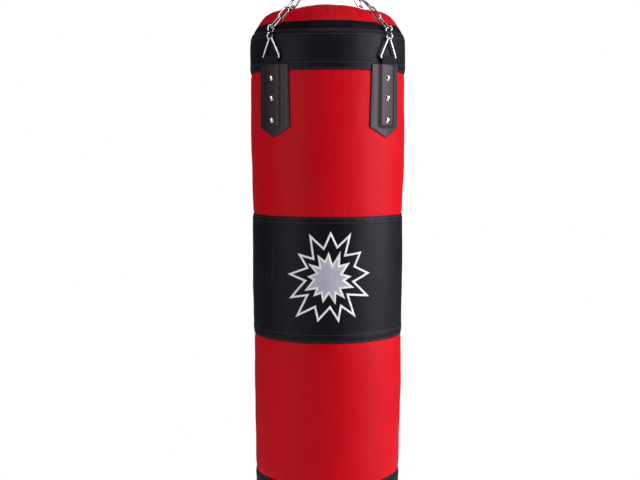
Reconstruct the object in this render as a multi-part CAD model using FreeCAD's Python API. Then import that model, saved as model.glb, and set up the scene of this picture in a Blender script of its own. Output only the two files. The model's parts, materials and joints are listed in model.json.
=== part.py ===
"""A filled punching bag that hangs by four chains from a swivel, one STEP file per piece.

Millimetres. The origin is the centre of the swivel's hanging eye, +Z is up, and the bag's
axis is Z. Its front is -Y. A strap is built on the +X side and then turned to its place.
"""
import FreeCAD, Part
import math
import os

# ---- the bag: levels are heights above its bottom, radii are outside ----
bag_height = 1000.0
lid_top_z = -239.0
bottom_z = lid_top_z - bag_height
crown_radius = 591.0
crown_edge_r = 90.0
lid_bulge = (120.5, 983.0)
lid_edge = (137.0, 966.7)
shoulder_bulge = (147.3, 940.5)
shoulder_foot = (150.0, 925.0)
binding_level = 950.0
top_band_low = (150.0, 874.0)
middle_band_top = (146.7, 604.0)
middle_band_low = (145.3, 367.0)
bottom_band_top = (141.6, 95.0)
bottom_disc_r = 113.0
bottom_round = 26.5
cover_thickness = 2.0
layer_gap = 0.2
liner_thickness = 18.0
liner_levels = (25.0, 920.0)

# ---- straps: where each is sewn, in degrees from the front towards +X ----
strap_azimuths = [-42.5, 46.5, 136.5, -133.5]
strap_names = ["front_left", "front_right", "back_right", "back_left"]
webbing_width = 35.0
webbing_thickness = 1.8
webbing_low_z = -478.0
patch_top_z = -352.0
patch_corner_z = -469.0
patch_tip_z = -489.0
patch_top_width = 73.0
patch_low_width = 80.0
patch_thickness = 2.5
tail_thickness = 3.2
ridge_width = 42.0
rivet_zs = [-377.0, -414.0, -455.0]
rivet_head_r = 6.0
rivet_head_height = 2.6
rivet_shank_r = 2.0
rivet_hole_r = 2.1
rivet_seat_gap = 0.15
rivet_washer_thickness = 1.0
pocket_radius = 6.6
pocket_depth = 3.0
rivet_end_length = 0.6
strap_zone_inner = 120.0
strap_zone_depth = 60.0
drill_start = 130.0
drill_length = 40.0

# ---- delta rings and closed S-hooks ----
ring_wire_r = 2.0
bar_r, bar_z = 154.6, -341.0
bar_play = 0.25
delta_half_base = 22.5
delta_height = 37.0
delta_corner_r = 2.8
delta_apex_r = 4.0
delta_lean = math.degrees(math.asin(2.2 / delta_height))
delta_split = 0.4
s_wire_r = 1.5
s_loop_r = 6.9
s_low_centre = (157.8, -301.4)
s_lean = 6.2
s_end_gap_angle = 48.0

# ---- chains ----
links_per_chain = 7
chain_wire_r = 1.5
link_width = 13.0
link_play = 0.3
chain_rise = 43.0
groove_r = link_width / 2 + 0.4
groove_length = 90.0
groove_start = 14.0

# ---- gather ring, snap hook and swivel ----
gather_wire_r = 2.5
gather_r = 20.0
gather_angles = {"front": 30.0, "back": 50.0}
hook_wire_r = 4.0
hook_top_r, hook_top_z = 12.0, -63.0
hook_low_r, hook_low_z = 16.0, -107.0
hook_play = 0.5
gate_top_z = -68.0
gate_pivot_z = -101.5
gate_r = 3.5
gate_heel_r = 3.2
gate_pin_r = 1.5
gate_play = 0.06
fork_play = 0.3
lip_margin = 0.3
spring_room_r, spring_room_length, spring_room_start = 1.9, 16.0, 2.5
spring_pitch, spring_length, spring_r = 1.5, 12.0, 1.45
spring_wire_r, spring_start = 0.3, 4.6
lug_half = 2.0
eye_bore_r = 12.5
eye_r = 21.0
eye_half = 6.0
eye_round = 2.5
shank_r = 5.0
shank_play = 0.05
collar_top, collar_low = -26.0, -36.0
collar_r = 10.0
bow_wire_r = 3.5
bow_half = 16.5
bow_top_z = -31.0
bow_low_z = hook_top_z + hook_top_r - hook_wire_r - bow_wire_r - hook_play
ball_r = 1.5
ball_count = 10
ball_ring_r = 7.6
seat_gap = 0.05
push_fit = 0.02
race_r = 9.5
race_thickness = 1.4
nut_corner_r = 8.0
nut_height = 4.0
neck_top_r, neck_low_r = 7.5, 6.0
neck_top_z, neck_length = -17.5, 8.0
shank_low_z, shank_length = -45.5, 20.5
bow_corner_r, bow_bend_r = 5.0, 10.0
# ---- zip in the lid ----
tape_half_length = 92.0
tape_half_width = 15.0
tape_thickness = 0.8
coil_half_length = 84.0
coil_half_width = 2.6
coil_height = 2.4
slider_angle = 7.3
slot_half_width = 4.0
pull_length = 30.0
pull_drop = 9.0
pull_pin_height = 7.8
pull_outline = [(0.8, 1.8), (3.4, 1.8), (8.0, 4.2), (pull_length, 3.4)]
pull_thickness = 1.4
pull_eyelet_r = 1.7
pull_bore_r = 0.9
pull_pin_r = 0.8
pull_eyelet_half = 1.9
slider_half_length, slider_half_width = 7.0, 5.0
slider_low, slider_top = 1.2, 5.4
slider_corner_r = 1.2
slider_play = 0.35
slider_lug_half = 1.6
slider_lug_inner, slider_lug_outer = 2.2, 3.4
slider_lug_low = 5.3

X = FreeCAD.Vector(1, 0, 0)
Y = FreeCAD.Vector(0, 1, 0)
Z = FreeCAD.Vector(0, 0, 1)
ORIGIN = FreeCAD.Vector(0, 0, 0)
gather_centre_z = hook_low_z - hook_low_r + hook_wire_r + gather_wire_r + hook_play - gather_r
FAR = 400.0


def vec(x, y, z):
    return FreeCAD.Vector(x, y, z)


def block(x0, x1, y0, y1, z0, z1):
    return Part.makeBox(x1 - x0, y1 - y0, z1 - z0, vec(x0, y0, z0))


def arc(start, middle, end):
    return Part.Arc(start, middle, end).toShape()


def turned(shape, angle, centre=ORIGIN, axis=Z):
    copy = shape.copy()
    copy.rotate(centre, axis, angle)
    return copy


def strap_side(shape, azimuth):
    """Turn a shape built on +X to a strap's place."""
    return turned(shape, azimuth - 90.0)


def rod(path, radius):
    """A round wire of the given radius along a path of tangent lines and arcs."""
    edge = path.Edges[0]
    start = edge.valueAt(edge.FirstParameter)
    along = edge.tangentAt(edge.FirstParameter)
    if edge.Orientation == "Reversed":
        start = edge.valueAt(edge.LastParameter)
        along = edge.tangentAt(edge.LastParameter) * -1
    section = Part.Wire(Part.makeCircle(radius, start, along))
    solid = path.makePipeShell([section], True, False)
    if solid.Volume < 0:
        solid.reverse()
    return solid


def rounded_path(corners, radii, closed):
    """Straight runs through the corners, each corner rounded with its own radius."""
    count = len(corners)
    cuts = []
    for i, corner in enumerate(corners):
        if not closed and i in (0, count - 1):
            cuts.append((corner, None, corner))
            continue
        to_last = (corners[i - 1] - corner).normalize()
        to_next = (corners[(i + 1) % count] - corner).normalize()
        half = to_last.getAngle(to_next) / 2
        reach = radii[i] / math.tan(half)
        bisector = (to_last + to_next).normalize()
        middle = corner + bisector * (radii[i] / math.sin(half) - radii[i])
        cuts.append((corner + to_last * reach, middle, corner + to_next * reach))
    edges = []
    for i, (arrive, middle, leave) in enumerate(cuts):
        if middle is not None:
            edges.append(arc(arrive, middle, leave))
        if i + 1 < count or closed:
            following = cuts[(i + 1) % count][0]
            if (following - leave).Length > 1e-6:
                edges.append(Part.makeLine(leave, following))
    return Part.Wire(edges)


# ---- where the chains run ----

def s_axis():
    """Unit vector along an S-hook, bottom to top, in the strap's X-Z plane."""
    lean = math.radians(s_lean)
    return vec(-math.sin(lean), 0, math.cos(lean))


def s_upper_centre():
    return vec(s_low_centre[0], 0, s_low_centre[1]) + s_axis() * (2 * s_loop_r)


def gather_point(name):
    """Where a chain's last link goes round the gather ring."""
    side = 1.0 if name.endswith("right") else -1.0
    angle = math.radians(gather_angles[name.split("_")[0]])
    return vec(side * gather_r * math.sin(angle), 0,
               gather_centre_z - gather_r * math.cos(angle))


def gather_tangent(name):
    side = 1.0 if name.endswith("right") else -1.0
    angle = math.radians(gather_angles[name.split("_")[0]])
    return vec(side * math.cos(angle), 0, math.sin(angle))


def chain_ends(name, azimuth):
    """Centres of the chain's two end wires: in the S-hook, and round the gather ring."""
    rise = math.radians(chain_rise)
    hold = s_loop_r - s_wire_r - chain_wire_r - hook_play
    low = s_upper_centre() + vec(-math.cos(rise), 0, math.sin(rise)) * hold
    low = FreeCAD.Rotation(Z, azimuth - 90.0).multVec(low)
    ring = gather_point(name)
    along = (ring - low).normalize()
    high = ring + along * (gather_wire_r + chain_wire_r + hook_play)
    return low, high


# ---- the bag's layers ----

def skin(inset):
    """The bag as one solid, every surface moved in by the inset, with its chain dents."""
    edge_z = crown_radius - math.sqrt(crown_radius ** 2 - crown_edge_r ** 2)
    lean = math.asin(crown_edge_r / crown_radius)

    def at(r, level):
        return vec(r, 0, bottom_z + level)

    def moved(point, normal_angle):
        turn = math.radians(normal_angle)
        return at(point[0] - inset * math.cos(turn), point[1] - inset * math.sin(turn))

    top = at(0, bag_height - inset)
    crown_edge = at(crown_edge_r - inset * math.sin(lean),
                    bag_height - edge_z - inset * math.cos(lean))
    inner_crown = crown_radius - inset
    half = vec(inner_crown * math.sin(lean / 2), 0,
               lid_top_z - crown_radius + inner_crown * math.cos(lean / 2))
    lid_end = moved(lid_edge, 36.0)
    foot = moved(shoulder_foot, 0.0)
    corner_r = bottom_round - inset
    corner = at(bottom_disc_r + corner_r, bottom_round)
    slope = math.sqrt(0.5)
    bulge = at(bottom_disc_r + corner_r * slope, bottom_round - corner_r * slope)
    disc = at(bottom_disc_r, inset)
    edges = [
        arc(top, half, crown_edge),
        arc(crown_edge, moved(lid_bulge, 60.0), lid_end),
        arc(lid_end, moved(shoulder_bulge, 15.0), foot),
    ]
    wall = [foot]
    for point in (top_band_low, middle_band_top, middle_band_low, bottom_band_top):
        wall.append(moved(point, 0.0))
    wall.append(corner)
    for upper, lower in zip(wall, wall[1:]):
        edges.append(Part.makeLine(upper, lower))
    edges.append(arc(corner, bulge, disc))
    base = at(0, inset)
    edges.append(Part.makeLine(disc, base))
    edges.append(Part.makeLine(base, top))
    solid = Part.Face(Part.Wire(edges)).revolve(ORIGIN, Z, 360)
    for name, azimuth in zip(strap_names, strap_azimuths):
        low, high = chain_ends(name, azimuth)
        along = (high - low).normalize()
        start = low - along * groove_start
        dent = Part.makeCylinder(groove_r + inset, groove_length, start, along)
        solid = solid.cut(dent)
    return solid


def slab(low, high):
    return Part.makeCylinder(FAR, high - low, vec(0, 0, bottom_z + low))


def covers():
    """The sewn cover: lid, dark binding, three bands, two panels and the bottom disc."""
    shell = skin(0.0).cut(skin(cover_thickness))
    levels = [
        ("bottom_band", 0.0, bottom_band_top[1]),
        ("lower_panel", bottom_band_top[1], middle_band_low[1]),
        ("middle_band", middle_band_low[1], middle_band_top[1]),
        ("upper_panel", middle_band_top[1], top_band_low[1]),
        ("top_band", top_band_low[1], binding_level),
        ("lid_binding", binding_level, lid_edge[1]),
        ("lid", lid_edge[1], bag_height + 5.0),
    ]
    parts = {}
    for name, low, high in levels:
        parts[name] = shell.common(slab(low, high))
    disc_zone = Part.makeCylinder(bottom_disc_r, 10.0, vec(0, 0, bottom_z - 5.0))
    parts["bottom_disc"] = parts["bottom_band"].common(disc_zone)
    parts["bottom_band"] = parts["bottom_band"].cut(disc_zone)
    slot = block(-coil_half_length - 2, coil_half_length + 2, -slot_half_width,
                 slot_half_width, lid_top_z - 40, lid_top_z + 20)
    parts["lid"] = parts["lid"].cut(slot)
    for azimuth in strap_azimuths:
        for hole in rivet_holes(rivet_hole_r):
            parts["upper_panel"] = parts["upper_panel"].cut(strap_side(hole, azimuth))
    return parts


def stuffing():
    """A foam sheet rolled inside the cover, and the shredded textile that fills the rest."""
    outside = skin(cover_thickness + layer_gap)
    liner = outside.common(slab(*liner_levels))
    liner = liner.cut(skin(cover_thickness + layer_gap + liner_thickness))
    room = outside.common(slab(liner_levels[0] - layer_gap, liner_levels[1] + layer_gap))
    room = room.cut(skin(cover_thickness + 2 * layer_gap + liner_thickness))
    filling = skin(cover_thickness + 2 * layer_gap).cut(room)
    for azimuth in strap_azimuths:
        for z in rivet_zs:
            reach = wall_r(z) - cover_thickness
            start = vec(reach - pocket_depth, 0, z)
            pocket = Part.makeCylinder(pocket_radius, pocket_depth, start, X)
            liner = liner.cut(strap_side(pocket, azimuth))
    return liner, filling


def wall_r(z):
    """The cover's outer radius at a height between the middle band and the shoulder."""
    level = z - bottom_z
    if level >= top_band_low[1]:
        return top_band_low[0]
    share = (level - middle_band_top[1]) / (top_band_low[1] - middle_band_top[1])
    return middle_band_top[0] + share * (top_band_low[0] - middle_band_top[0])


# ---- straps ----

def prism(outline):
    """Extrude a Y-Z outline along the strap's radial direction."""
    points = [vec(strap_zone_inner, y, z) for y, z in outline]
    face = Part.Face(Part.makePolygon(points + points[:1]))
    return face.extrude(X * strap_zone_depth)


def strip(half_width, low_z, high_z):
    return block(strap_zone_inner, strap_zone_inner + strap_zone_depth,
                 -half_width, half_width, low_z, high_z)


def rivet_holes(radius):
    return [Part.makeCylinder(radius, drill_length, vec(drill_start, 0, z), X)
            for z in rivet_zs]


def strap_loop(base, tail_skin):
    """Webbing that goes round the ring's bar and comes down double under the patch."""
    outer_r = ring_wire_r + bar_play + webbing_thickness
    half = webbing_width / 2
    round_part = Part.makeCylinder(outer_r, webbing_width, vec(bar_r, -half, bar_z), Y)
    tail_out = top_band_low[0] + tail_thickness
    side = [
        vec(bar_r - outer_r, -half, bar_z),
        vec(bar_r + outer_r, -half, bar_z),
        vec(tail_out, -half, patch_top_z + 0.5),
        vec(top_band_low[0] + layer_gap, -half, patch_top_z + 0.5),
    ]
    wedge = Part.Face(Part.makePolygon(side + side[:1])).extrude(Y * webbing_width)
    tail = tail_skin.cut(base).common(strip(half, webbing_low_z, patch_top_z + 0.6))
    loop = round_part.fuse([wedge, tail])
    hole = Part.makeCylinder(ring_wire_r + bar_play, webbing_width + 2,
                             vec(bar_r, -half - 1, bar_z), Y)
    loop = loop.cut(hole)
    for drill in rivet_holes(rivet_hole_r):
        loop = loop.cut(drill)
    return loop.removeSplitter()


def strap_patch(base, flat_skin, ridge_skin, tail_room):
    """The pointed leather patch, raised where the webbing runs under it."""
    half_top = patch_top_width / 2
    half_low = patch_low_width / 2
    outline = [(-half_top, patch_top_z), (half_top, patch_top_z),
               (half_low, patch_corner_z), (0.0, patch_tip_z), (-half_low, patch_corner_z)]
    flat = flat_skin.common(prism(outline))
    ridge = ridge_skin.common(strip(ridge_width / 2, patch_corner_z, patch_top_z))
    patch = flat.fuse(ridge).cut(base)
    pocket = tail_room.common(strip(webbing_width / 2 + layer_gap,
                                    webbing_low_z - layer_gap, FAR))
    patch = patch.cut(pocket)
    for drill in rivet_holes(rivet_hole_r):
        patch = patch.cut(drill)
    return patch.removeSplitter()


def rivets(ridge_height):
    """Domed heads on shanks that go through patch, webbing and cover."""
    heads = []
    washers = []
    for z in rivet_zs:
        seat = wall_r(z) + ridge_height + rivet_seat_gap
        inside = wall_r(z) - cover_thickness - layer_gap
        ball_radius = (rivet_head_r ** 2 + rivet_head_height ** 2) / (2 * rivet_head_height)
        ball = Part.makeSphere(ball_radius, vec(seat + rivet_head_height - ball_radius, 0, z))
        dome = ball.common(Part.makeCylinder(rivet_head_r, 10.0, vec(seat, 0, z), X))
        end = inside - rivet_washer_thickness - rivet_end_length
        shank = Part.makeCylinder(rivet_shank_r, seat - end + 0.5, vec(end, 0, z), X)
        heads.append(dome.fuse(shank).removeSplitter())
        washer = Part.makeCylinder(pocket_radius - 0.6, rivet_washer_thickness,
                                   vec(inside - rivet_washer_thickness, 0, z), X)
        bore = Part.makeCylinder(rivet_shank_r + push_fit, drill_length,
                                 vec(drill_start, 0, z), X)
        washers.append(washer.cut(bore))
    return heads, washers


def delta_ring():
    """A bent-wire triangle: bar through the webbing, split apex in the S-hook."""
    half_angle = math.atan(delta_half_base / (delta_height + delta_apex_r))
    peak = delta_height + delta_apex_r / math.sin(half_angle) - delta_apex_r
    corners = [vec(0, -delta_half_base, 0), vec(0, delta_half_base, 0), vec(0, 0, peak)]
    path = rounded_path(corners, [delta_corner_r, delta_corner_r, delta_apex_r], True)
    ring = rod(path, ring_wire_r)
    split = block(-5, 5, -delta_split / 2, delta_split / 2, delta_height - 4, peak + 4)
    ring = ring.cut(split)
    ring.rotate(ORIGIN, Y, delta_lean)
    ring.translate(vec(bar_r, 0, bar_z))
    return ring


def s_hook():
    """An S of round wire whose two loops are squeezed almost shut."""
    up = s_axis()
    out = vec(up.z, 0, -up.x)
    low = vec(s_low_centre[0], 0, s_low_centre[1])
    high = s_upper_centre()

    def on(centre, degrees):
        turn = math.radians(degrees)
        return centre + out * (s_loop_r * math.cos(turn)) + up * (s_loop_r * math.sin(turn))

    first = -90.0 + s_end_gap_angle
    upper = arc(on(high, first), on(high, (first + 270.0) / 2), on(high, 270.0))
    last = -270.0 + s_end_gap_angle
    lower = arc(on(low, 90.0), on(low, (90.0 + last) / 2), on(low, last))
    return rod(Part.Wire([upper, lower]), s_wire_r)


# ---- chains ----

def chain(name, azimuth):
    """Seven welded links, each a quarter turn on from the last, from S-hook to ring."""
    low, high = chain_ends(name, azimuth)
    along = (high - low).normalize()
    span = (high - low).Length
    wire = 2 * chain_wire_r
    pitch = (span - wire - link_play) / links_per_chain
    length = pitch + wire + link_play
    half_straight = length / 2 - (link_width / 2 - chain_wire_r)
    bend = link_width / 2 - chain_wire_r
    ends = [vec(0, bend, -half_straight), vec(0, bend, half_straight),
            vec(0, -bend, half_straight), vec(0, -bend, -half_straight)]
    path = Part.Wire([
        Part.makeLine(ends[0], ends[1]),
        arc(ends[1], vec(0, 0, half_straight + bend), ends[2]),
        Part.makeLine(ends[2], ends[3]),
        arc(ends[3], vec(0, 0, -half_straight - bend), ends[0]),
    ])
    link = rod(path, chain_wire_r)
    across = along.cross(Z).normalize()
    last_across = along.cross(gather_tangent(name)).normalize()
    twist = math.degrees(across.getAngle(last_across))
    if across.cross(last_across).dot(along) < 0:
        twist = -twist
    if abs(twist) > 90.0:
        twist -= math.copysign(180.0, twist)
    normal = across.cross(along)
    facing = FreeCAD.Rotation(normal, across, along, "ZXY")
    links = []
    for i in range(links_per_chain):
        centre = low + along * (length / 2 + i * pitch)
        roll = 90.0 * i + twist * i / (links_per_chain - 1)
        placed = link.copy()
        turn = FreeCAD.Rotation(along, roll)
        placed.Placement = FreeCAD.Placement(centre, turn.multiply(facing))
        links.append(placed)
    return links


def gather_ring():
    return Part.makeTorus(gather_r, gather_wire_r, vec(0, 0, gather_centre_z), Y)


# ---- snap hook ----

def hook_side():
    """Unit normal of the hook's +Y side, and the tangent points at its top and bottom."""
    drop = hook_top_z - hook_low_z
    nz = (hook_low_r - hook_top_r) / drop
    ny = math.sqrt(1 - nz * nz)
    top = vec(0, ny * hook_top_r, hook_top_z + nz * hook_top_r)
    low = vec(0, ny * hook_low_r, hook_low_z + nz * hook_low_r)
    return vec(0, ny, nz), top, low


def on_hook_side(z):
    _, top, low = hook_side()
    share = (top.z - z) / (top.z - low.z)
    return top + (low - top) * share


def snap_hook():
    """A pear-shaped wire body, open on its +Y side for the gate."""
    _, top, low = hook_side()
    nose = on_hook_side(gate_top_z)
    far_top = vec(0, -top.y, top.z)
    far_low = vec(0, -low.y, low.z)
    path = Part.Wire([
        Part.makeLine(nose, top),
        arc(top, vec(0, 0, hook_top_z + hook_top_r), far_top),
        Part.makeLine(far_top, far_low),
        arc(far_low, vec(0, 0, hook_low_z - hook_low_r), low),
    ])
    body = rod(path, hook_wire_r)
    pivot = on_hook_side(gate_pivot_z)
    along = (top - low).normalize()
    lug = Part.makeCylinder(gate_heel_r, 2 * lug_half, pivot - X * lug_half, X)
    heel_bar = Part.makeCylinder(hook_wire_r, 4.0, low, along)
    flat = block(-lug_half, lug_half, low.y - 5, low.y + 5, low.z, pivot.z)
    shape = body.fuse([lug, heel_bar.common(flat)])
    tip = Part.makeCylinder(hook_wire_r, 4.0, nose, along * -1)
    shape = shape.fuse(tip.common(lip_zone(0.0)))
    clear = Part.makeCylinder(gate_pin_r + push_fit, 12.0, pivot - X * 6, X)
    return shape.cut(clear).removeSplitter(), pivot, along


def lip_zone(margin):
    """The outer part of the nose that keeps the gate from swinging outwards."""
    normal, top, low = hook_side()
    nose = on_hook_side(gate_top_z)
    along = (top - low).normalize()
    zone = Part.makeBox(12.0, 6.0, 6.0 + margin, vec(-6.0, 1.4 - margin, -4.2 - margin))
    zone.Placement = FreeCAD.Placement(nose, FreeCAD.Rotation(X, normal, along, "XYZ")
                                       ).multiply(FreeCAD.Placement(zone.Placement))
    return zone


def snap_gate(pivot, along):
    """A round bar forked over the hook's lug, bored for its spring."""
    nose = on_hook_side(gate_top_z - 0.4)
    length = (nose - pivot).Length
    bar = Part.makeCylinder(gate_r, length, pivot, along)
    cheek = gate_r - 0.1
    heel = Part.makeCylinder(gate_heel_r, 2 * cheek, pivot - X * cheek, X)
    gate = bar.fuse(heel)
    slot_half = lug_half + fork_play
    slot = Part.makeCylinder(gate_r + 0.4, 2 * slot_half, pivot - X * slot_half, X)
    below = Part.makeBox(2 * slot_half, 20.0, 12.0, vec(-slot_half, pivot.y - 10,
                                                         pivot.z - 12.0))
    gate = gate.cut(slot).cut(below).cut(lip_zone(lip_margin))
    bore = Part.makeCylinder(gate_pin_r + gate_play, 12.0, pivot - X * 6, X)
    spring_room = Part.makeCylinder(spring_room_r, spring_room_length,
                                    pivot + along * spring_room_start, along)
    return gate.cut(bore).cut(spring_room).removeSplitter()


def gate_spring(pivot, along):
    helix = Part.makeHelix(spring_pitch, spring_length, spring_r)
    helix.Placement = FreeCAD.Placement(pivot + along * spring_start,
                                        FreeCAD.Rotation(Z, along))
    edge = helix.Edges[0]
    section = Part.Wire(Part.makeCircle(spring_wire_r, edge.valueAt(edge.FirstParameter),
                                        edge.tangentAt(edge.FirstParameter)))
    return Part.Wire(helix.Edges).makePipeShell([section], True, True)


# ---- swivel ----

def swivel_eye():
    """The fixed eye and its shank."""
    ring = Part.makeCylinder(eye_r, 2 * eye_half, vec(0, -eye_half, 0), Y)
    ring = ring.cut(Part.makeCylinder(eye_bore_r, 2 * eye_half + 2,
                                      vec(0, -eye_half - 1, 0), Y))
    ring = ring.makeFillet(eye_round, [e for e in ring.Edges if e.Closed])
    neck = Part.makeCone(neck_top_r, neck_low_r, neck_length,
                         vec(0, 0, neck_top_z), Z * -1)
    shank = Part.makeCylinder(shank_r, shank_length, vec(0, 0, shank_low_z))
    return ring.fuse([neck, shank]).removeSplitter()


def swivel_yoke():
    """A collar on the shank, with the bow that the hook hangs on."""
    half_run = collar_r - 4.0
    corners = [vec(half_run, 0, bow_top_z), vec(bow_half, 0, bow_top_z),
               vec(bow_half, 0, bow_low_z), vec(-bow_half, 0, bow_low_z),
               vec(-bow_half, 0, bow_top_z), vec(-half_run, 0, bow_top_z)]
    radii = [0, bow_corner_r, bow_bend_r, bow_bend_r, bow_corner_r, 0]
    path = rounded_path(corners, radii, False)
    bow = rod(path, bow_wire_r)
    collar = Part.makeCylinder(collar_r, collar_top - collar_low, vec(0, 0, collar_low))
    bore = Part.makeCylinder(shank_r + shank_play, 20.0, vec(0, 0, collar_low - 5))
    return collar.fuse(bow).cut(bore).removeSplitter()


def thrust_bearing():
    """Balls under the collar, the race they run on, and the nut that holds them up."""
    ball_z = collar_low - seat_gap - ball_r
    balls = []
    for i in range(ball_count):
        turn = 2 * math.pi * i / ball_count
        balls.append(Part.makeSphere(ball_r, vec(ball_ring_r * math.cos(turn),
                                                 ball_ring_r * math.sin(turn), ball_z)))
    race_top = ball_z - ball_r - seat_gap
    race = Part.makeCylinder(race_r, race_thickness, vec(0, 0, race_top - race_thickness))
    race = race.cut(Part.makeCylinder(shank_r + push_fit, 10.0, vec(0, 0, race_top - 5)))
    nut_top = race_top - race_thickness - seat_gap
    points = []
    for i in range(7):
        turn = math.radians(60.0 * i)
        points.append(vec(nut_corner_r * math.cos(turn), nut_corner_r * math.sin(turn),
                          nut_top - nut_height))
    nut = Part.Face(Part.makePolygon(points)).extrude(Z * nut_height)
    nut = nut.cut(Part.makeCylinder(shank_r + push_fit, 12.0, vec(0, 0, nut_top - 8)))
    return balls, race, nut


# ---- zip ----

def zip_strip(inner_skin, outer_skin, half_length, y0, y1):
    zone = block(-half_length, half_length, y0, y1, lid_top_z - 40, lid_top_z + 20)
    return outer_skin.cut(inner_skin).common(zone)


def zip_slider_and_pull():
    """A slider over the coil, and its pull lying back along the lid."""
    top = lid_top_z
    body = block(-slider_half_length, slider_half_length, -slider_half_width,
                 slider_half_width, top + slider_low, top + slider_top)
    upright = [e for e in body.Edges if abs(e.tangentAt(0).z) > 0.9]
    body = body.makeFillet(slider_corner_r, upright)
    throat = coil_half_width + slider_play
    body = body.cut(block(-slider_half_length - 1, slider_half_length + 1, -throat, throat,
                          top, top + coil_height + slider_play))
    pin_z = top + pull_pin_height
    for side in (-1, 1):
        lug = block(-slider_lug_half, slider_lug_half, slider_lug_inner, slider_lug_outer,
                    top + slider_lug_low, pin_z + pull_thickness)
        body = body.fuse(lug if side > 0 else lug.mirror(ORIGIN, Y))
    pin = Part.makeCylinder(pull_pin_r, 6.0, vec(0, -3.0, pin_z), Y)
    body = body.fuse(pin).removeSplitter()
    half = pull_eyelet_half
    eyelet = Part.makeCylinder(pull_eyelet_r, 2 * half, vec(0, -half, pin_z), Y)
    low = pin_z - pull_thickness / 2
    outline = []
    for side, spans in ((-1, pull_outline), (1, reversed(pull_outline))):
        outline += [vec(-reach, side * half_width, low) for reach, half_width in spans]
    tab = Part.Face(Part.makePolygon(outline + outline[:1])).extrude(Z * pull_thickness)
    window = block(-pull_length + 3, -10, -1.6, 1.6, pin_z - 2, pin_z + 2)
    pull = eyelet.fuse(tab.cut(window))
    pull = pull.cut(Part.makeCylinder(pull_bore_r, 8.0, vec(0, -4.0, pin_z), Y))
    pull = pull.cut(block(-half, half, half, 6, pin_z - 3, pin_z + 3))
    pull = pull.cut(block(-half, half, -6, -half, pin_z - 3, pin_z + 3)).removeSplitter()
    pull.rotate(vec(0, 0, pin_z), Y, -pull_drop)
    centre = vec(0, 0, lid_top_z - crown_radius)
    return [turned(piece, -slider_angle, centre, Y) for piece in (body, pull)]


# ---- write every node ----

def save(name, shape):
    if isinstance(shape, list):
        shape = Part.makeCompound(shape)
    shape.exportStep("parts/" + name + ".step")
    bounds = shape.BoundBox
    print(f"{name:24s} solids {len(shape.Solids):3d} volume {shape.Volume:12.1f} "
          f"z {bounds.ZMin:8.1f} {bounds.ZMax:8.1f} valid {shape.isValid()}")


def main():
    os.makedirs("parts", exist_ok=True)
    for name, shape in covers().items():
        save(name, shape)
    liner, filling = stuffing()
    save("foam_liner", liner)
    save("filling", filling)
    base = skin(-0.1)
    ridge_height = tail_thickness + layer_gap + patch_thickness
    tail_skin = skin(-tail_thickness)
    loop = strap_loop(base, tail_skin)
    patch = strap_patch(base, skin(-0.1 - patch_thickness), skin(-ridge_height),
                        skin(-tail_thickness - layer_gap))
    heads, washers = rivets(ridge_height)
    ring = delta_ring()
    hook = s_hook()
    all_heads = []
    all_washers = []
    for name, azimuth in zip(strap_names, strap_azimuths):
        save("strap_patch_" + name, strap_side(patch, azimuth))
        save("strap_loop_" + name, strap_side(loop, azimuth))
        save("delta_ring_" + name, strap_side(ring, azimuth))
        save("s_hook_" + name, strap_side(hook, azimuth))
        save("chain_" + name, chain(name, azimuth))
        all_heads += [strap_side(head, azimuth) for head in heads]
        all_washers += [strap_side(washer, azimuth) for washer in washers]
    save("rivets", all_heads)
    save("rivet_washers", all_washers)
    tape_skin = skin(-0.05 - tape_thickness)
    tapes = [zip_strip(skin(-0.05), tape_skin, tape_half_length, 1.0, tape_half_width),
             zip_strip(skin(-0.05), tape_skin, tape_half_length, -tape_half_width, -1.0)]
    save("zip_tape", tapes)
    save("zip_coil", zip_strip(skin(-0.1 - tape_thickness), skin(-coil_height),
                               coil_half_length, -coil_half_width, coil_half_width))
    slider, pull = zip_slider_and_pull()
    save("zip_slider", slider)
    save("zip_pull", pull)
    save("gather_ring", gather_ring())
    hook_body, pivot, along = snap_hook()
    save("snap_hook", hook_body)
    save("snap_gate", snap_gate(pivot, along))
    save("gate_pin", Part.makeCylinder(gate_pin_r, 2 * gate_r, pivot - X * gate_r, X))
    save("gate_spring", gate_spring(pivot, along))
    save("swivel_eye", swivel_eye())
    save("swivel_yoke", swivel_yoke())
    balls, race, nut = thrust_bearing()
    save("bearing_balls", balls)
    save("bearing_race", race)
    save("swivel_nut", nut)


main()
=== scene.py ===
# %% [markdown]
# # A hanging punching bag
#
# A filled bag is a sewn tube of coated cloth, stuffed hard with cloth scraps and closed by a
# zipped lid. Black bands of glossy coated cloth are sewn over the red tube, four leather
# patches carry webbing loops, and steel rings, hooks and chains lift it all to a swivel.
# The hard pieces come from the frame as they are. This file makes the soft ones: it reads
# their levels and radii from the frame, so nothing has to be fitted afterwards.

# %% Load the frame
import json
import math
import random

import bmesh
import bpy
from mathutils import Matrix, Vector, noise


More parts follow.
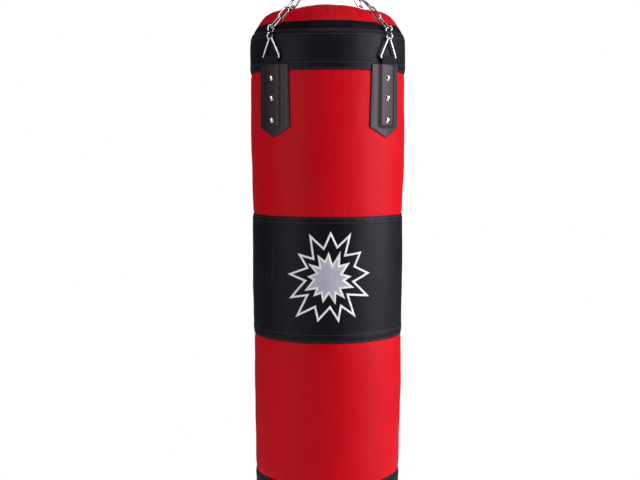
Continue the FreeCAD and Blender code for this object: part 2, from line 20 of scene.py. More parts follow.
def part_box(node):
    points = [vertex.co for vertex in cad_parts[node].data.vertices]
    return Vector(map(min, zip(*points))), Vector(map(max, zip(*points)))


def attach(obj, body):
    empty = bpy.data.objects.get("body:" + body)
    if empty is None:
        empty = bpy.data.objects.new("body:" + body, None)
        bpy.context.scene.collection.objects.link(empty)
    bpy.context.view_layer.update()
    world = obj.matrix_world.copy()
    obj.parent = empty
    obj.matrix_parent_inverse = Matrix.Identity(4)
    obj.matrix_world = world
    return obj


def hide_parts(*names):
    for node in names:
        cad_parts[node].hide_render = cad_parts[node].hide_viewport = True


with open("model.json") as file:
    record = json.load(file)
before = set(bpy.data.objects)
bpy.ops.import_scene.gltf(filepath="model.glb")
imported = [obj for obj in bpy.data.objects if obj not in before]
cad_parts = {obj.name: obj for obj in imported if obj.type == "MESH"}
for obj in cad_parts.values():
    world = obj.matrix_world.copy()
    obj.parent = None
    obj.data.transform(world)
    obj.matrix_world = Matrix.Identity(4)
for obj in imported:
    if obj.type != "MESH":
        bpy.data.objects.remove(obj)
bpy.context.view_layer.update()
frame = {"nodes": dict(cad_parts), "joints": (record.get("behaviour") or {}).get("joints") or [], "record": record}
nodes = frame["nodes"]
joints = {joint["name"]: joint for joint in frame["joints"]}

# %% [markdown]
# ## Measures
#
# Each panel of the cover meets the next at a level, and its widest point is at its top, so
# the frame's boxes give the whole outline of the bag. A strap's direction comes from the
# axis of the ring that hangs in it, and a chain's line runs from its lowest end through
# its middle.

# %% Levels, radii, strap directions and chain lines
PANELS = ["lid", "lid_binding", "top_band", "upper_panel",
          "middle_band", "lower_panel", "bottom_band"]
STRAPS = ["front_left", "front_right", "back_right", "back_left"]
MM = 0.001

top_of = {}
low_of = {}
widest = {}
for panel in PANELS:
    low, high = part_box(panel)
    low_of[panel], top_of[panel], widest[panel] = low.z, high.z, high.x
bag_low = low_of["bottom_band"]
bag_top = top_of["lid"]
lid_level = top_of["lid_binding"]
band_radius = widest["top_band"]


def strap_direction(name):
    """Unit vector from the bag's axis to a strap, level."""
    place = joints["delta_tilt_" + name]["pos_m"]
    return Vector((place[0], place[1], 0.0)).normalized()


def chain_line(name):
    """Where a chain starts, and the direction it runs in."""
    start = Vector(joints["s_hook_tilt_" + name]["pos_m"])
    points = [vertex.co for vertex in nodes["chain_" + name].data.vertices]
    middle = sum(points, Vector()) / len(points)
    return start, (middle - start).normalized()


directions = {name: strap_direction(name) for name in STRAPS}
chains = {name: chain_line(name) for name in STRAPS}
CHAIN_ROOM = 7.4 * MM
CHAIN_REACH = (-22 * MM, 100 * MM)
print("bag", round(bag_top - bag_low, 4), "m tall,", round(2 * band_radius, 4), "m across")

# %% [markdown]
# ## The outline of the stuffed bag
#
# The stuffed bag is a body of revolution: a flat bottom with a soft corner, a wall that is
# a little narrower towards the bottom, a rounded shoulder and a low crown. Its outline
# could be drawn point by point, but a few levels and two curves describe it, and a length
# measured along it then places every seam, stitch and print on the surface.

# %% One outline, measured along its length
SHOULDER_DROP = 75 * MM
CROWN_RADIUS = 591 * MM
CROWN_EDGE = 90 * MM
BOTTOM_ROUND = 26.5 * MM
BOTTOM_FLAT = 113 * MM


def curve_between(start, start_way, end, end_way, steps):
    """Points of a smooth curve that leaves one way and arrives another, ends left out."""
    reach = (end - start).length * 0.38
    first, last = start + start_way * reach, end - end_way * reach
    points = []
    for step in range(1, steps):
        t = step / steps
        u = 1 - t
        points.append(u**3 * start + 3 * u * u * t * first + 3 * u * t * t * last + t**3 * end)
    return points


def bag_outline():
    """Radius and height pairs from the middle of the bottom to the top of the crown."""
    corner_x = BOTTOM_FLAT + BOTTOM_ROUND
    flat_end = Vector((BOTTOM_FLAT, bag_low))
    corner_end = Vector((corner_x, bag_low + BOTTOM_ROUND))
    points = [Vector((0, bag_low)), flat_end]
    points += curve_between(flat_end, Vector((1, 0)), corner_end, Vector((0, 1)), 12)
    points.append(corner_end)
    points += [Vector((widest[panel], top_of[panel])) for panel in PANELS[:2:-1]]
    foot = Vector((band_radius, bag_top - SHOULDER_DROP))
    edge = Vector((widest["lid"], lid_level))
    lean = math.asin(CROWN_EDGE / CROWN_RADIUS)
    crown = Vector((CROWN_EDGE, bag_top - CROWN_RADIUS * (1 - math.cos(lean))))
    seam_way = Vector((-1, 1.35)).normalized()
    crown_way = Vector((-math.cos(lean), math.sin(lean)))
    points.append(foot)
    points += curve_between(foot, Vector((0, 1)), edge, seam_way, 16)
    points.append(edge)
    points += curve_between(edge, seam_way, crown, crown_way, 16)
    points.append(crown)
    for step in range(11, -1, -1):
        turn = lean * step / 12
        points.append(Vector((CROWN_RADIUS * math.sin(turn),
                              bag_top - CROWN_RADIUS * (1 - math.cos(turn)))))
    return points


outline = bag_outline()
outline_length = [0.0]
for last, here in zip(outline, outline[1:]):
    outline_length.append(outline_length[-1] + (here - last).length)


def outline_at(length):
    """The outline's radius, height and outward normal, a given length along it."""
    length = min(max(length, 0.0), outline_length[-1])
    for i in range(1, len(outline)):
        if length <= outline_length[i]:
            break
    share = (length - outline_length[i - 1]) / (outline_length[i] - outline_length[i - 1])
    along = (outline[i] - outline[i - 1]).normalized()
    place = outline[i - 1].lerp(outline[i], share)
    return place.x, place.y, Vector((along.y, -along.x))


def length_at(level):
    """The length along the outline at which it passes a height on the wall or shoulder."""
    for i in range(2, len(outline)):
        if outline[i].y >= level - 1e-9 and outline[i].y > outline[i - 1].y:
            share = (level - outline[i - 1].y) / (outline[i].y - outline[i - 1].y)
            return outline_length[i - 1] + share * (outline_length[i] - outline_length[i - 1])
    return outline_length[-1]


seams = {panel: length_at(top_of[panel]) for panel in PANELS[1:]}
seams["bottom"] = BOTTOM_FLAT
print("outline", round(outline_length[-1], 4), "m long, seams at",
      [round(value, 3) for value in seams.values()])

# %% [markdown]
# ## Why a stuffed tube is never quite round
#
# Cloth scraps packed by hand leave low lumps, each panel swells a little between its seams,
# the seams themselves pull in, and the chains press grooves into the soft shoulder. All of
# this is a small distance along the surface's own normal, so one function gives it for
# every panel, band, stitch and print, and they stay in contact.

# %% The soft surface
SWELL = 1.3 * MM
SEAM_PULL = 1.1 * MM
LUMP = 1.5 * MM
LEAST_COVER = 1.5 * MM
PATCH_CLEAR = 46 * MM
PATCH_LEVELS = (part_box("strap_patch_front_left")[0].z - 20 * MM, bag_top)


def away(turn, other):
    """The angle between two directions round the bag, at most half a turn."""
    return abs((turn - other + math.pi) % (2 * math.pi) - math.pi)


def azimuth_of(direction):
    """The angle round the bag of a direction, from the front and rising to the right."""
    return math.atan2(direction.x, -direction.y)


strap_turns = {name: azimuth_of(directions[name]) for name in STRAPS}


def ease(value):
    value = min(max(value, 0.0), 1.0)
    return value * value * (3 - 2 * value)


def near_strap(turn, level):
    """1 where a strap lies on the cover and holds it flat, 0 away from the straps."""
    side = min(away(turn, other) for other in strap_turns.values()) * band_radius
    beside = 1 - ease((side - PATCH_CLEAR) / (24 * MM))
    return beside * ease((level - PATCH_LEVELS[0]) / (30 * MM))


def near_zip(point):
    """1 under the zip in the lid, which stays flat, 0 away from it."""
    if point.z < lid_level:
        return 0.0
    beside = 1 - ease((abs(point.y) - 18 * MM) / (24 * MM))
    return beside * (1 - ease((abs(point.x) - 98 * MM) / (16 * MM)))


def softness(length, turn, level):
    """How far the stuffed cover stands out from the plain outline."""
    below = max((seam for seam in seams.values() if seam <= length), default=0.0)
    above = min((seam for seam in seams.values() if seam > length), default=outline_length[-1])
    share = (length - below) / max(above - below, 1e-6)
    swell = SWELL * math.sin(math.pi * share) ** 0.7 * min(1.0, (above - below) / 0.2)
    gap = min(length - below, above - length)
    pull = SEAM_PULL * math.exp(-(gap / (7 * MM)) ** 2)
    spot = Vector((math.sin(turn), -math.cos(turn), 0)) * band_radius
    spot.z = length
    lumps = LUMP * noise.noise(spot / (95 * MM)) + 0.45 * LUMP * noise.noise(spot / (38 * MM))
    ring = Vector((math.sin(turn), math.cos(turn), 0))
    ripples = noise.noise(ring * 12 + Vector((0, 0, 40 * below)))
    ripples += 0.6 * noise.noise(ring * 29 + Vector((0, 0, 40 * above)))
    pucker = 0.8 * MM * ripples * math.exp(-gap / (16 * MM))
    held = 1 - near_strap(turn, level)
    return max((swell + lumps + pucker) * held - pull, -LEAST_COVER)


def soft_min(first, second, width):
    """The smaller of two values, with the corner between them rounded over a width."""
    blend = max(width - abs(first - second), 0.0)
    return min(first, second) - blend * blend / (4 * width)


def pressed(point, normal):
    """Push a point of the cover in where a chain lies across it."""
    for start, way in chains.values():
        offset = point - start
        along = offset.dot(way)
        if not CHAIN_REACH[0] <= along <= CHAIN_REACH[1]:
            continue
        offset -= way * along
        if offset.length > 4 * CHAIN_ROOM:
            continue
        out = (normal - way * normal.dot(way)).normalized()
        height = offset.dot(out)
        side2 = max(offset.length_squared - height * height, 0.0)
        limit = -CHAIN_ROOM + side2 / (2.6 * CHAIN_ROOM)
        limit += 14 * MM * ease((-along - 3 * MM) / (18 * MM))
        lower = soft_min(height, limit, 3 * MM)
        point = point + out * (lower - height)
    return point


def on_cover(length, turn, lift=0.0, soft=True):
    """A point of the cover and its outward normal, raised by the lift."""
    radius, level, normal2 = outline_at(length)
    side = Vector((math.sin(turn), -math.cos(turn), 0))
    normal = side * normal2.x + Vector((0, 0, normal2.y))
    if soft:
        plain = side * radius + Vector((0, 0, level))
        fade = min(1.0, radius / (30 * MM)) * (1 - near_zip(plain))
        lift_soft = softness(length, turn, level) * fade
    else:
        lift_soft = 0.0
    base = side * radius + Vector((0, 0, level)) + normal * lift_soft
    return pressed(base, normal) + normal * lift, normal


probe = on_cover(length_at(low_of["top_band"]) - 0.1, 0.0)[0]
print("cover at the front of the upper panel is", round(probe.xy.length, 4), "m from the axis")

# %% [markdown]
# ## Surface effects that several finishes share
#
# Woven cloth, leather grain, uneven dye and small scuffs turn up in more than one
# finish. Each could be drawn again in every material, but a node group is made once, has
# its own named inputs, and keeps each material short.

# %% Small tools for shader nodes
def new_group(name, inputs, outputs):
    group = bpy.data.node_groups.new(name, "ShaderNodeTree")
    for label, kind, value in inputs:
        socket = group.interface.new_socket(label, in_out="INPUT", socket_type=kind)
        if value is not None:
            socket.default_value = value
    for label, kind in outputs:
        group.interface.new_socket(label, in_out="OUTPUT", socket_type=kind)
    start = group.nodes.new("NodeGroupInput")
    end = group.nodes.new("NodeGroupOutput")
    return group, start, end


def node(tree, kind, inputs=None, **settings):
    """Add a node, set its properties, and set or link its inputs."""
    made = tree.nodes.new(kind)
    for key, value in settings.items():
        setattr(made, key, value)
    for key, value in (inputs or {}).items():
        if isinstance(value, bpy.types.NodeSocket):
            tree.links.new(value, made.inputs[key])
        else:
            made.inputs[key].default_value = value
    return made


def ramp(tree, value, low, high, start=0.0, end=1.0):
    """Map the span from low to high onto start to end, clamped."""
    made = node(tree, "ShaderNodeMapRange", {"Value": value, "From Min": low,
                "From Max": high, "To Min": start, "To Max": end})
    return made.outputs["Result"]


# %% Woven cloth: threads over and under
def make_weave():
    """Height of a plain weave, from two families of threads crossing at right angles."""
    group, start, end = new_group("plain_weave", [
        ("Vector", "NodeSocketVector", None), ("Threads per metre", "NodeSocketFloat", 1200.0)],
        [("Height", "NodeSocketFloat")])
    split = node(group, "ShaderNodeSeparateXYZ", {"Vector": start.outputs["Vector"]})
    waves = []
    for axis in ("X", "Y"):
        turns = node(group, "ShaderNodeMath", {0: split.outputs[axis],
                     1: start.outputs["Threads per metre"]}, operation="MULTIPLY")
        radians = node(group, "ShaderNodeMath", {0: turns.outputs[0], 1: math.pi},
                       operation="MULTIPLY")
        waves.append((node(group, "ShaderNodeMath", {0: radians.outputs[0]},
                           operation="SINE").outputs[0], turns.outputs[0]))
    product = node(group, "ShaderNodeMath", {0: waves[0][0], 1: waves[1][0]},
                   operation="MULTIPLY")
    crossing = node(group, "ShaderNodeMath", {0: product.outputs[0]}, operation="ABSOLUTE")
    group.links.new(ramp(group, crossing.outputs[0], 0.0, 1.0), end.inputs["Height"])
    return group


def make_grain():
    """Height of leather grain: small cells with creases between them."""
    group, start, end = new_group("leather_grain", [
        ("Vector", "NodeSocketVector", None), ("Cells per metre", "NodeSocketFloat", 900.0),
        ("Crease", "NodeSocketFloat", 0.12)],
        [("Height", "NodeSocketFloat"), ("Crease mask", "NodeSocketFloat")])
    drift = node(group, "ShaderNodeTexNoise", {"Vector": start.outputs["Vector"],
                 "Scale": 220.0, "Detail": 2.0})
    moved = node(group, "ShaderNodeVectorMath", {0: drift.outputs["Color"],
                 1: (0.0012, 0.0012, 0.0012)}, operation="MULTIPLY")
    place = node(group, "ShaderNodeVectorMath", {0: start.outputs["Vector"],
                 1: moved.outputs[0]}, operation="ADD")
    cells = node(group, "ShaderNodeTexVoronoi", {"Vector": place.outputs[0],
                 "Scale": start.outputs["Cells per metre"]}, feature="DISTANCE_TO_EDGE")
    crease = node(group, "ShaderNodeMapRange", {"Value": cells.outputs["Distance"],
                  "From Max": start.outputs["Crease"]}, interpolation_type="SMOOTHSTEP")
    group.links.new(crease.outputs["Result"], end.inputs["Height"])
    group.links.new(ramp(group, crease.outputs["Result"], 0.0, 1.0, 1.0, 0.0),
                    end.inputs["Crease mask"])
    return group


def make_mottle():
    """A slow uneven value from 0 to 1, for dye, polish and handling marks."""
    group, start, end = new_group("uneven", [
        ("Vector", "NodeSocketVector", None), ("Scale", "NodeSocketFloat", 9.0),
        ("Low", "NodeSocketFloat", 0.35), ("High", "NodeSocketFloat", 0.68)],
        [("Value", "NodeSocketFloat")])
    cloud = node(group, "ShaderNodeTexNoise", {"Vector": start.outputs["Vector"],
                 "Scale": start.outputs["Scale"], "Detail": 5.0, "Roughness": 0.6})
    value = node(group, "ShaderNodeMapRange", {"Value": cloud.outputs["Fac"],
                 "From Min": start.outputs["Low"], "From Max": start.outputs["High"]})
    group.links.new(value.outputs["Result"], end.inputs["Value"])
    return group


def make_scuffs():
    """A mask of short fine scratches and rubbed spots."""
    group, start, end = new_group("scuffs", [
        ("Vector", "NodeSocketVector", None), ("Scale", "NodeSocketFloat", 120.0),
        ("Amount", "NodeSocketFloat", 0.3)], [("Mask", "NodeSocketFloat")])
    stretched = node(group, "ShaderNodeMapping", {"Vector": start.outputs["Vector"],
                     "Scale": (1.0, 1.0, 0.12), "Rotation": (0.4, 0.7, 0.2)})
    fine = node(group, "ShaderNodeTexNoise", {"Vector": stretched.outputs["Vector"],
                "Scale": start.outputs["Scale"], "Detail": 8.0, "Roughness": 0.7})
    patchy = node(group, "ShaderNodeTexNoise", {"Vector": start.outputs["Vector"],
                  "Scale": 14.0, "Detail": 2.0})
    both = node(group, "ShaderNodeMath", {0: ramp(group, fine.outputs["Fac"], 0.56, 0.66),
                1: ramp(group, patchy.outputs["Fac"], 0.42, 0.66)}, operation="MULTIPLY")
    amount = node(group, "ShaderNodeMath", {0: both.outputs[0],
                  1: start.outputs["Amount"]}, operation="MULTIPLY")
    group.links.new(amount.outputs[0], end.inputs["Mask"])
    return group


weave_group = make_weave()
grain_group = make_grain()
uneven_group = make_mottle()
scuff_group = make_scuffs()
print("shared effects:", [group.name for group in bpy.data.node_groups])

# %% [markdown]
# ## Finishes
#
# Every finish is a Principled surface. What is the same all over, such as the sheen of
# cloth or the coat of glossy vinyl, is set on the surface's own sockets, and what changes
# from place to place comes from the shared effects. Cloth patterns follow the UV map, in
# metres, and metal reads the object's own coordinates.

# %% A finish and its parts
def place_group(tree, group, **inputs):
    made = tree.nodes.new("ShaderNodeGroup")
    made.node_tree = group
    for key, value in inputs.items():
        label = key.replace("_", " ").capitalize() if key not in made.inputs else key
        if isinstance(value, bpy.types.NodeSocket):
            tree.links.new(value, made.inputs[label])
        else:
            made.inputs[label].default_value = value
    return made


def new_finish(name, **surface):
    """A material with one Principled surface, and the sockets that never vary set on it."""
    material = bpy.data.materials.new(name)
    material.use_nodes = True
    tree = material.node_tree
    shader = tree.nodes["Principled BSDF"]
    for key, value in surface.items():
        shader.inputs[key.replace("_", " ")].default_value = value
    return material, tree, shader


def mixed_colour(tree, mask, first, second):
    blend = node(tree, "ShaderNodeMix", {0: mask, 6: (*first, 1.0), 7: (*second, 1.0)},
                 data_type="RGBA")
    return blend.outputs[2]


def bumped(tree, shader, height, strength, distance, under=None):
    inputs = {"Height": height, "Strength": strength, "Distance": distance}
    if under is not None:
        inputs["Normal"] = under
    bump = node(tree, "ShaderNodeBump", inputs)
    tree.links.new(bump.outputs["Normal"], shader.inputs["Normal"])
    return bump.outputs["Normal"]


def uv_of(tree):
    return node(tree, "ShaderNodeTexCoord").outputs["UV"]


def place_of(tree):
    return node(tree, "ShaderNodeTexCoord").outputs["Object"]


# %% Red coated cloth of the lid and panels
def red_cloth():
    material, tree, shader = new_finish(
        "red coated cloth", Roughness=0.5, Sheen_Weight=0.06, Sheen_Roughness=0.4,
        Specular_IOR_Level=0.08)
    shader.inputs["Sheen Tint"].default_value = (1.0, 0.25, 0.40, 1.0)
    flat = uv_of(tree)
    uneven = place_group(tree, uneven_group, Vector=place_of(tree), Scale=7.0)
    fine = place_group(tree, uneven_group, Vector=place_of(tree), Scale=160.0)
    colour = mixed_colour(tree, uneven.outputs[0], (0.52, 0.0012, 0.008), (0.58, 0.0022, 0.011))
    speck = node(tree, "ShaderNodeMix", {0: ramp(tree, fine.outputs[0], 0.0, 1.0, 0.0, 0.12),
                 6: colour, 7: (0.38, 0.001, 0.006, 1.0)}, data_type="RGBA")
    tree.links.new(speck.outputs[2], shader.inputs["Base Color"])
    tree.links.new(ramp(tree, uneven.outputs[0], 0.0, 1.0, 0.46, 0.56),
                   shader.inputs["Roughness"])
    weave = place_group(tree, weave_group, Vector=flat, Threads_per_metre=1150.0)
    under = bumped(tree, shader, weave.outputs["Height"], 0.22, 0.00025)
    bumped(tree, shader, fine.outputs[0], 0.25, 0.0002, under)
    return material


# %% Black glossy vinyl of the bands, and the leather of the strap patches
def black_vinyl(name, low, high, rough, cells, crease_depth, coat, shine,
                tint=(0.80, 0.76, 1.0, 1.0)):
    material, tree, shader = new_finish(
        name, Coat_Roughness=0.4, Sheen_Weight=0.025, Sheen_Roughness=0.4,
        Specular_IOR_Level=shine)
    shader.inputs["Sheen Tint"].default_value = (0.8, 0.8, 1.0, 1.0)
    shader.inputs["Specular Tint"].default_value = tint
    flat = uv_of(tree)
    uneven = place_group(tree, uneven_group, Vector=place_of(tree), Scale=11.0)
    scuffs = place_group(tree, scuff_group, Vector=place_of(tree), Scale=90.0, Amount=0.35)
    colour = mixed_colour(tree, uneven.outputs[0], low, high)
    rubbed = node(tree, "ShaderNodeMix", {0: scuffs.outputs["Mask"], 6: colour,
                  7: (0.035, 0.032, 0.038, 1.0)}, data_type="RGBA")
    tree.links.new(rubbed.outputs[2], shader.inputs["Base Color"])
    roughness = node(tree, "ShaderNodeMath", {
        0: ramp(tree, uneven.outputs[0], 0.0, 1.0, rough, rough + 0.10),
        1: ramp(tree, scuffs.outputs["Mask"], 0.0, 1.0, 0.0, 0.3)}, operation="ADD")
    tree.links.new(roughness.outputs[0], shader.inputs["Roughness"])
    shader.inputs["Coat Weight"].default_value = coat
    grain = place_group(tree, grain_group, Vector=flat, Cells_per_metre=cells)
    bumped(tree, shader, grain.outputs["Height"], 0.35, crease_depth)
    return material


# %% Webbing, thread, printing ink and the cloth inside
def webbing_cloth(name):
    material, tree, shader = new_finish(name, Roughness=0.8, Sheen_Weight=0.05,
                                        Specular_IOR_Level=0.2)
    flat = uv_of(tree)
    weave = place_group(tree, weave_group, Vector=flat, Threads_per_metre=620.0)
    # Darker where the weave is low: painted shade in the grooves between the threads, on the webbing and the zip
    # tape.
    colour = mixed_colour(tree, weave.outputs["Height"], (0.0015, 0.0013, 0.0018),
                          (0.0085, 0.0078, 0.0095))
    tree.links.new(colour, shader.inputs["Base Color"])
    bumped(tree, shader, weave.outputs["Height"], 0.8, 0.0005)
    return material


def sewing_thread(name, colour):
    material, tree, shader = new_finish(name, Roughness=0.55, Sheen_Weight=0.4)
    twist = node(tree, "ShaderNodeTexWave", {"Vector": place_of(tree), "Scale": 900.0,
                 "Distortion": 2.0}, wave_type="BANDS", bands_direction="DIAGONAL")
    # Darker where the twist bands are low: painted shade in the grooves of the twisted thread.
    twist_painted_shade = mixed_colour(tree, twist.outputs["Fac"], tuple(c * 0.55 for c in colour), colour)
    tree.links.new(twist_painted_shade, shader.inputs["Base Color"])
    bumped(tree, shader, twist.outputs["Fac"], 0.5, 0.0002)
    return material


def printed_ink(name, colour):
    material, tree, shader = new_finish(name, Roughness=0.42)
    uneven = place_group(tree, uneven_group, Vector=place_of(tree), Scale=60.0)
    worn = tuple(c * 0.86 for c in colour)
    tree.links.new(mixed_colour(tree, uneven.outputs[0], colour, worn),
                   shader.inputs["Base Color"])
    grain = place_group(tree, grain_group, Vector=uv_of(tree), Cells_per_metre=700.0)
    bumped(tree, shader, grain.outputs["Height"], 0.2, 0.00015)
    return material


def loose_fibre(name, low, high, scale):
    material, tree, shader = new_finish(name, Roughness=0.9, Sheen_Weight=0.2)
    fibres = node(tree, "ShaderNodeTexNoise", {"Vector": place_of(tree), "Scale": scale,
                  "Detail": 8.0, "Roughness": 0.75})
    tree.links.new(mixed_colour(tree, ramp(tree, fibres.outputs["Fac"], 0.35, 0.65), low, high),
                   shader.inputs["Base Color"])
    bumped(tree, shader, fibres.outputs["Fac"], 0.7, 0.002)
    return material


# %% Plated steel, nickel rivets and the plain steel inside the swivel
def plated_steel(name, bright, dull, smooth, rough, scratch):
    material, tree, shader = new_finish(name, Metallic=1.0)
    where = place_of(tree)
    uneven = place_group(tree, uneven_group, Vector=where, Scale=85.0)
    scuffs = place_group(tree, scuff_group, Vector=where, Scale=420.0, Amount=scratch)
    tone = mixed_colour(tree, uneven.outputs[0], bright, dull)
    tree.links.new(tone, shader.inputs["Base Color"])
    roughness = node(tree, "ShaderNodeMath", {
        0: ramp(tree, uneven.outputs[0], 0.0, 1.0, smooth, rough),
        1: scuffs.outputs["Mask"]}, operation="ADD")
    tree.links.new(roughness.outputs[0], shader.inputs["Roughness"])
    pits = node(tree, "ShaderNodeTexNoise", {"Vector": where, "Scale": 700.0, "Detail": 3.0})
    bumped(tree, shader, pits.outputs["Fac"], 0.12, 0.0002)
    return material


finishes = {
    "red_cover": red_cloth(),
    "black_cover": black_vinyl(
        "black vinyl", (0.0020, 0.0018, 0.0034), (0.0042, 0.0038, 0.0062), rough=0.44,
        cells=780.0, crease_depth=0.00022, coat=0.02, shine=0.17),
    "binding": black_vinyl(
        "dark binding", (0.0012, 0.0008, 0.0012), (0.003, 0.002, 0.003), rough=0.6,
        cells=900.0, crease_depth=0.0002, coat=0.0, shine=0.12),
    "strap_leather": black_vinyl(
        "strap leather", (0.0060, 0.0030, 0.0046), (0.0125, 0.0075, 0.0100), rough=0.38,
        cells=620.0, crease_depth=0.0003, coat=0.06, shine=0.40, tint=(1.0, 0.84, 0.98, 1.0)),
    "webbing": webbing_cloth("black webbing"),
    "red_thread": sewing_thread("dark red thread", (0.09, 0.008, 0.016)),
    "black_thread": sewing_thread("black thread", (0.03, 0.026, 0.03)),
    "white_ink": printed_ink("white print", (0.88, 0.88, 0.90)),
    "grey_ink": printed_ink("grey print", (0.50, 0.48, 0.58)),
    "zip_cloth": webbing_cloth("zip tape"),
    "zip_teeth": black_vinyl(
        "zip coil", (0.012, 0.012, 0.012), (0.02, 0.02, 0.02), rough=0.35,
        cells=300.0, crease_depth=0.0001, coat=0.0, shine=0.5),
    "foam": loose_fibre("foam sheet", (0.20, 0.20, 0.22), (0.36, 0.36, 0.38), 260.0),
    "textile_fill": loose_fibre("cloth scraps", (0.16, 0.13, 0.12), (0.5, 0.46, 0.42), 45.0),
    "bright_steel": plated_steel("bright plated steel", (0.72, 0.72, 0.73), (0.52, 0.52, 0.54),
                                 smooth=0.14, rough=0.30, scratch=0.25),
    "rivet_nickel": plated_steel("nickel rivet", (0.80, 0.78, 0.75), (0.66, 0.64, 0.61),
                                 smooth=0.10, rough=0.22, scratch=0.2),
    "dark_steel": plated_steel("oiled steel", (0.36, 0.36, 0.37), (0.22, 0.22, 0.23),
                               smooth=0.28, rough=0.42, scratch=0.3),
}
slot_of = {part["node"]: part["material_slot"] for part in frame["record"]["subparts"]}
for name, piece in nodes.items():
    piece.data.materials.clear()
    piece.data.materials.append(finishes[slot_of[name]])
    piece.data.polygons.foreach_set("use_smooth", [True] * len(piece.data.polygons))
print(len(finishes), "finishes on", len(nodes), "frame nodes")

# %% [markdown]
# ## Panels cut flat and wrapped
#
# A cover panel is a strip of cloth: it starts as a flat grid, keeps its flat size as UVs in
# metres, is wrapped round the outline, joined at the back and given its thickness. Modelling
# a closed tube would be shorter, but the flat start is how the cloth is cut, and it gives
# the weave its true size without an unwrap.

# %% A wrapped strip
def flat_grid(columns, lengths):
    """A flat grid, one row for each length along the outline, turn running across."""
    mesh = bmesh.new()
    bmesh.ops.create_grid(mesh, x_segments=columns, y_segments=len(lengths) - 1, size=1)
    cover = mesh.loops.layers.uv.new("UVMap")
    place = {}
    for vertex in mesh.verts:
        across = (vertex.co.x + 1) / 2
        row = round((vertex.co.y + 1) / 2 * (len(lengths) - 1))
        place[vertex] = (across, lengths[row])
    return mesh, cover, place


def finish_piece(mesh, name, finish, smooth=True):
    """Turn the working mesh into an object of the scene."""
    data = bpy.data.meshes.new(name)
    mesh.to_mesh(data)
    mesh.free()
    piece = bpy.data.objects.new(name, data)
    bpy.context.scene.collection.objects.link(piece)
    for each in finish if isinstance(finish, list) else [finish]:
        data.materials.append(finishes[each])
    data.polygons.foreach_set("use_smooth", [smooth] * len(data.polygons))
    data.update()
    return piece


def rows_between(start, end, spacing):
    """Lengths from start to end: close rows near both edges, wider ones in the middle."""
    count = max(4, int(abs(end - start) / spacing))
    rows = [i / count for i in range(count + 1)]
    extra = [edge * MM / abs(end - start) for edge in (0.7, 1.6, 3.0, 5.0, 8.0)]
    rows += [value for value in extra if value < 0.4]
    rows += [1 - value for value in extra if value < 0.4]
    rows = sorted(set(round(value, 6) for value in rows))
    kept = [rows[0]]
    for value in rows[1:]:
        if value - kept[-1] > 0.0005 / abs(end - start):
            kept.append(value)
    kept[-1] = 1.0
    return [start + (end - start) * value for value in kept]


def sewn_strip(name, lengths, lift, thickness, finish, columns=400):
    """A strip wrapped right round the bag, with its thickness on the inside."""
    mesh, cover, place = flat_grid(columns, lengths)
    for vertex, (across, length) in place.items():
        turn = (across - 0.5) * 2 * math.pi
        vertex.co = on_cover(length, turn, lift(length, turn))[0]
    for face in mesh.faces:
        for loop in face.loops:
            across, length = place[loop.vert]
            loop[cover].uv = (across * 2 * math.pi * band_radius, length)
    bmesh.ops.remove_doubles(mesh, verts=mesh.verts, dist=0.02 * MM)
    bmesh.ops.recalc_face_normals(mesh, faces=mesh.faces)
    mesh.faces.ensure_lookup_table()
    face = mesh.faces[0]
    if face.normal.xy.dot(face.calc_center_median().xy) < 0:
        bmesh.ops.reverse_faces(mesh, faces=mesh.faces)
    bmesh.ops.solidify(mesh, geom=mesh.faces[:], thickness=thickness)
    return finish_piece(mesh, name, finish)


# %% [markdown]
# ## Bands and panels
#
# The red panels run a little way under the black bands. Each band edge is folded into a hem,
# which stands up a little, with a row of stitching in a shallow groove beside it. The hem
# and groove are part of the strip's own lift, so the fold catches the light along its
# whole length.

# %% Hems, stitch grooves and the strips
BAND_LIFT = 0.55 * MM
HEM_RISE = 0.55 * MM
HEM_ROW = 1.6 * MM
GROOVE_HALF = 0.9 * MM
EDGE_ROW = 3.2 * MM
TUCK = 6 * MM
CLOTH = 1.3 * MM
HEMS = {"top_band": (16 * MM, 13 * MM), "middle_band": (18 * MM, 12.5 * MM),
        "bottom_band": (0.0, 12 * MM)}


def hem_profile(distance, hem, rise):
    """Height of a folded edge, at a distance in from the edge."""
    if distance > hem + 3 * MM:
        return 0.0
    fold = rise * (1 - ease((distance - hem) / HEM_ROW))
    roll = -0.5 * MM * (1 - ease(distance / (1.1 * MM)))
    stitch = -0.35 * MM * math.exp(-((distance - hem + HEM_ROW) / GROOVE_HALF) ** 2)
    return fold + roll + stitch


def rows_of(start, end, hems):
    """Where a band is stitched: just inside each hem, and again near its edge."""
    rows = []
    for edge, way, hem in ((start, 1, hems[0]), (end, -1, hems[1])):
        if hem:
            rows += [edge + way * (hem - HEM_ROW), edge + way * EDGE_ROW]
    return rows


def band_lift(start, end, hems):
    """The lift of a black band: hems at its edges, and a groove under its edge stitches."""
    def lift(length, turn):
        value = BAND_LIFT
        for distance, hem in ((length - start, hems[0]), (end - length, hems[1])):
            if hem:
                value += hem_profile(distance, hem, HEM_RISE)
                value -= 0.25 * MM * math.exp(-((distance - EDGE_ROW) / GROOVE_HALF) ** 2)
        return value
    return lift


def panel_lift(length, turn):
    """The red panels lie straight on the stuffing."""
    return 0.0


def with_rows(lengths, rows):
    """Add close rows beside each stitch row so its groove has a shape."""
    for row in rows:
        lengths = lengths + [row + step * MM for step in (-2.0, -1.0, -0.4, 0.4, 1.0, 2.0)]
    lengths = sorted(lengths)
    kept = [lengths[0]]
    for value in lengths[1:]:
        if value - kept[-1] > 0.25 * MM:
            kept.append(value)
    kept[-1] = lengths[-1]
    return kept


